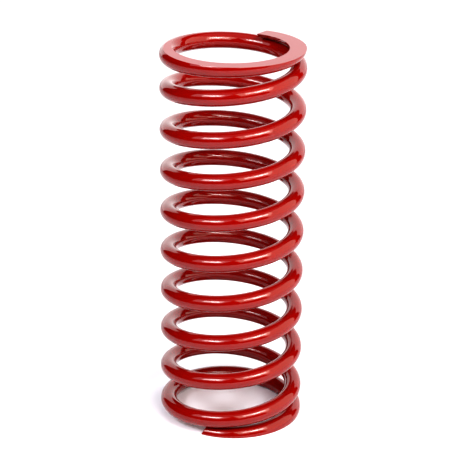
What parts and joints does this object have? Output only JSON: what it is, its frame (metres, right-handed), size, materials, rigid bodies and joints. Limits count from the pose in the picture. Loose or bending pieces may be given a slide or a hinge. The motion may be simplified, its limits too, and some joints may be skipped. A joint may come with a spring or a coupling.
{
  "type": "coil spring",
  "caption": "Helical compression spring for a car's coil-over suspension: round red-coated wire, wound right-handed, with closed ends ground flat.",
  "frame": {"origin": "centre of the lower ground seat: on the coil's axis, in the seat's plane", "axes": "+Z along the coil's axis, from the lower seat to the upper one; +X points to the right of the view in the picture, where the wire is divided, and -Y to its viewer. Seen from above the wire climbs counter-clockwise, from a lower tip 115.5 degrees clockwise of +X to an upper tip 63 degrees counter-clockwise of +X."},
  "size_m": [0.078, 0.078, 0.21],
  "materials": {
    "red_powder_coat": "gloss red powder coat over spring steel"
  },
  "bodies": {
    "lower_end": {"lower_end_coil": "red_powder_coat"},
    "coil_1_back": {"coil_1_back": "red_powder_coat"},
    "coil_1_front": {"coil_1_front": "red_powder_coat"},
    "coil_2_back": {"coil_2_back": "red_powder_coat"},
    "coil_2_front": {"coil_2_front": "red_powder_coat"},
    "coil_3_back": {"coil_3_back": "red_powder_coat"},
    "coil_3_front": {"coil_3_front": "red_powder_coat"},
    "coil_4_back": {"coil_4_back": "red_powder_coat"},
    "coil_4_front": {"coil_4_front": "red_powder_coat"},
    "coil_5_back": {"coil_5_back": "red_powder_coat"},
    "coil_5_front": {"coil_5_front": "red_powder_coat"},
    "coil_6_back": {"coil_6_back": "red_powder_coat"},
    "coil_6_front": {"coil_6_front": "red_powder_coat"},
    "coil_7_back": {"coil_7_back": "red_powder_coat"},
    "coil_7_front": {"coil_7_front": "red_powder_coat"},
    "coil_8_back": {"coil_8_back": "red_powder_coat"},
    "coil_8_front": {"coil_8_front": "red_powder_coat"},
    "upper_end": {"upper_end_coil": "red_powder_coat"}
  },
  "joints": [
    {"name": "compression", "type": "slide", "parent": "lower_end", "child": "upper_end", "axis": [0, 0, 1], "range_m": [-0.1, 0], "stiffness_N_per_m": 23300},
    {"name": "coil_1_back_closing", "type": "slide", "parent": "lower_end", "child": "coil_1_back", "axis": [0, 0, 1], "range_m": [-0.0032, 0]},
    {"name": "coil_1_front_closing", "type": "slide", "parent": "lower_end", "child": "coil_1_front", "axis": [0, 0, 1], "range_m": [-0.0096, 0]},
    {"name": "coil_2_back_closing", "type": "slide", "parent": "lower_end", "child": "coil_2_back", "axis": [0, 0, 1], "range_m": [-0.016, 0]},
    {"name": "coil_2_front_closing", "type": "slide", "parent": "lower_end", "child": "coil_2_front", "axis": [0, 0, 1], "range_m": [-0.0224, 0]},
    {"name": "coil_3_back_closing", "type": "slide", "parent": "lower_end", "child": "coil_3_back", "axis": [0, 0, 1], "range_m": [-0.0288, 0]},
    {"name": "coil_3_front_closing", "type": "slide", "parent": "lower_end", "child": "coil_3_front", "axis": [0, 0, 1], "range_m": [-0.0352, 0]},
    {"name": "coil_4_back_closing", "type": "slide", "parent": "lower_end", "child": "coil_4_back", "axis": [0, 0, 1], "range_m": [-0.0416, 0]},
    {"name": "coil_4_front_closing", "type": "slide", "parent": "lower_end", "child": "coil_4_front", "axis": [0, 0, 1], "range_m": [-0.048, 0]},
    {"name": "coil_5_back_closing", "type": "slide", "parent": "lower_end", "child": "coil_5_back", "axis": [0, 0, 1], "range_m": [-0.0544, 0]},
    {"name": "coil_5_front_closing", "type": "slide", "parent": "lower_end", "child": "coil_5_front", "axis": [0, 0, 1], "range_m": [-0.0608, 0]},
    {"name": "coil_6_back_closing", "type": "slide", "parent": "lower_end", "child": "coil_6_back", "axis": [0, 0, 1], "range_m": [-0.0672, 0]},
    {"name": "coil_6_front_closing", "type": "slide", "parent": "lower_end", "child": "coil_6_front", "axis": [0, 0, 1], "range_m": [-0.0736, 0]},
    {"name": "coil_7_back_closing", "type": "slide", "parent": "lower_end", "child": "coil_7_back", "axis": [0, 0, 1], "range_m": [-0.08, 0]},
    {"name": "coil_7_front_closing", "type": "slide", "parent": "lower_end", "child": "coil_7_front", "axis": [0, 0, 1], "range_m": [-0.0864, 0]},
    {"name": "coil_8_back_closing", "type": "slide", "parent": "lower_end", "child": "coil_8_back", "axis": [0, 0, 1], "range_m": [-0.0928, 0]},
    {"name": "coil_8_front_closing", "type": "slide", "parent": "lower_end", "child": "coil_8_front", "axis": [0, 0, 1], "range_m": [-0.0992, 0]}
  ],
  "couplings": [
    {"joint": "coil_1_back_closing", "follows": "compression", "ratio": 0.032},
    {"joint": "coil_1_front_closing", "follows": "compression", "ratio": 0.096},
    {"joint": "coil_2_back_closing", "follows": "compression", "ratio": 0.16},
    {"joint": "coil_2_front_closing", "follows": "compression", "ratio": 0.224},
    {"joint": "coil_3_back_closing", "follows": "compression", "ratio": 0.288},
    {"joint": "coil_3_front_closing", "follows": "compression", "ratio": 0.352},
    {"joint": "coil_4_back_closing", "follows": "compression", "ratio": 0.416},
    {"joint": "coil_4_front_closing", "follows": "compression", "ratio": 0.48},
    {"joint": "coil_5_back_closing", "follows": "compression", "ratio": 0.544},
    {"joint": "coil_5_front_closing", "follows": "compression", "ratio": 0.608},
    {"joint": "coil_6_back_closing", "follows": "compression", "ratio": 0.672},
    {"joint": "coil_6_front_closing", "follows": "compression", "ratio": 0.736},
    {"joint": "coil_7_back_closing", "follows": "compression", "ratio": 0.8},
    {"joint": "coil_7_front_closing", "follows": "compression", "ratio": 0.864},
    {"joint": "coil_8_back_closing", "follows": "compression", "ratio": 0.928},
    {"joint": "coil_8_front_closing", "follows": "compression", "ratio": 0.992}
  ]
}
